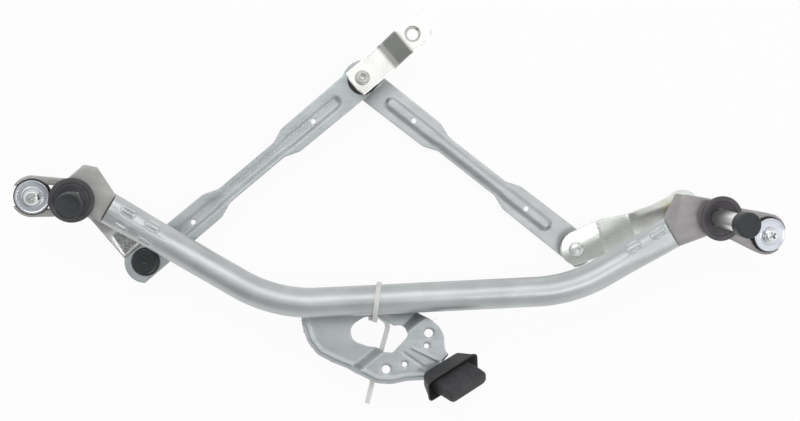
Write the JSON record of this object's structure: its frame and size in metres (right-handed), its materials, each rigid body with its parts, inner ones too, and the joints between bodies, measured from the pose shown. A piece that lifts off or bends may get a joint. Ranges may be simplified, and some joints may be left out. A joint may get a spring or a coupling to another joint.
{
  "type": "wiper linkage",
  "caption": "Wiper linkage of a car: a bent tube with a cast pivot at each end, a motor plate, and levers and links that a motor crank moves.",
  "frame": {"origin": "on the motor plate's raised seat, on the sheet 19 mm to the right of the motor shaft's axis", "axes": "+Z out of the motor seat, along the motor shaft towards the motor; +X along the linkage from the left wiper shaft to the right one; +Y towards the crank"},
  "size_m": [0.6948, 0.3553, 0.1335],
  "materials": {
    "galvanised_tube": "galvanised, dull",
    "galvanised_sheet": "galvanised, dull",
    "die_cast": "matt, as cast",
    "bright_zinc": "bright zinc plating",
    "machined_steel": "turned",
    "black_rubber": "matt",
    "black_plastic": "matt, moulded",
    "bearing_bronze": "sintered",
    "natural_nylon": "natural, translucent"
  },
  "bodies": {
    "frame": {"frame_tube": "galvanised_tube", "motor_plate": "galvanised_sheet", "left_pivot_housing": "die_cast", "right_pivot_housing": "die_cast", "left_seal_ring": "black_rubber", "right_seal_ring": "black_rubber", "left_upper_bush": "bearing_bronze", "left_lower_bush": "bearing_bronze", "right_upper_bush": "bearing_bronze", "right_lower_bush": "bearing_bronze", "left_mount_grommet": "black_rubber", "left_mount_sleeve": "bright_zinc", "left_mount_washer": "bright_zinc", "left_mount_screw": "bright_zinc", "right_mount_grommet": "black_rubber", "right_mount_sleeve": "bright_zinc", "right_mount_washer": "bright_zinc", "right_mount_screw": "bright_zinc", "rubber_foot": "black_rubber", "cable_tie": "natural_nylon"},
    "left_arm": {"left_shaft": "machined_steel", "left_shaft_cap": "black_plastic", "left_lever": "bright_zinc", "left_ball_stud": "machined_steel", "left_thrust_washer": "black_plastic", "left_lower_washer": "black_plastic", "left_retaining_clip": "machined_steel"},
    "right_arm": {"right_shaft": "machined_steel", "right_shaft_cap": "black_plastic", "right_lever": "bright_zinc", "right_ball_stud": "machined_steel", "right_thrust_washer": "black_plastic", "right_lower_washer": "black_plastic", "right_retaining_clip": "machined_steel"},
    "left_link": {"left_link": "galvanised_sheet", "left_link_outer_socket": "black_plastic", "left_link_inner_socket": "black_plastic"},
    "right_link": {"right_link": "galvanised_sheet", "right_link_outer_socket": "black_plastic", "right_link_inner_socket": "black_plastic"},
    "crank": {"crank_arm": "bright_zinc", "crank_ball_stud": "machined_steel"}
  },
  "joints": [
    {"name": "right_pivot", "type": "hinge", "parent": "frame", "child": "right_arm", "pos_m": [0.268, 0.1093, 0.0288], "axis": [0.2189, -0.1172, 0.9687], "range_deg": [0, 22]},
    {"name": "left_pivot", "type": "hinge", "parent": "frame", "child": "left_arm", "pos_m": [-0.3056, 0.1255, 0.0288], "axis": [0.2189, -0.1172, 0.9687], "range_deg": [0, 15.5]},
    {"name": "right_link_joint", "type": "hinge", "parent": "right_arm", "child": "right_link", "pos_m": [0.1476, 0.083, -0.0457], "axis": [0.2189, -0.1172, 0.9687], "range_deg": [-29, 0]},
    {"name": "left_link_joint", "type": "hinge", "parent": "left_arm", "child": "left_link", "pos_m": [-0.2526, 0.0691, -0.0297], "axis": [0.2189, -0.1172, 0.9687], "range_deg": [-24.5, 0]},
    {"name": "crank_turn", "type": "hinge", "parent": "left_link", "child": "crank", "pos_m": [-0.0506, 0.2386, -0.0297], "axis": [0, 0, 1], "continuous": true}
  ],
  "couplings": [
    {"joint": "left_pivot", "follows": "right_pivot", "ratio": 0.7},
    {"joint": "left_link_joint", "follows": "right_pivot", "ratio": -1.1046},
    {"joint": "right_link_joint", "follows": "right_pivot", "ratio": -1.3072}
  ]
}
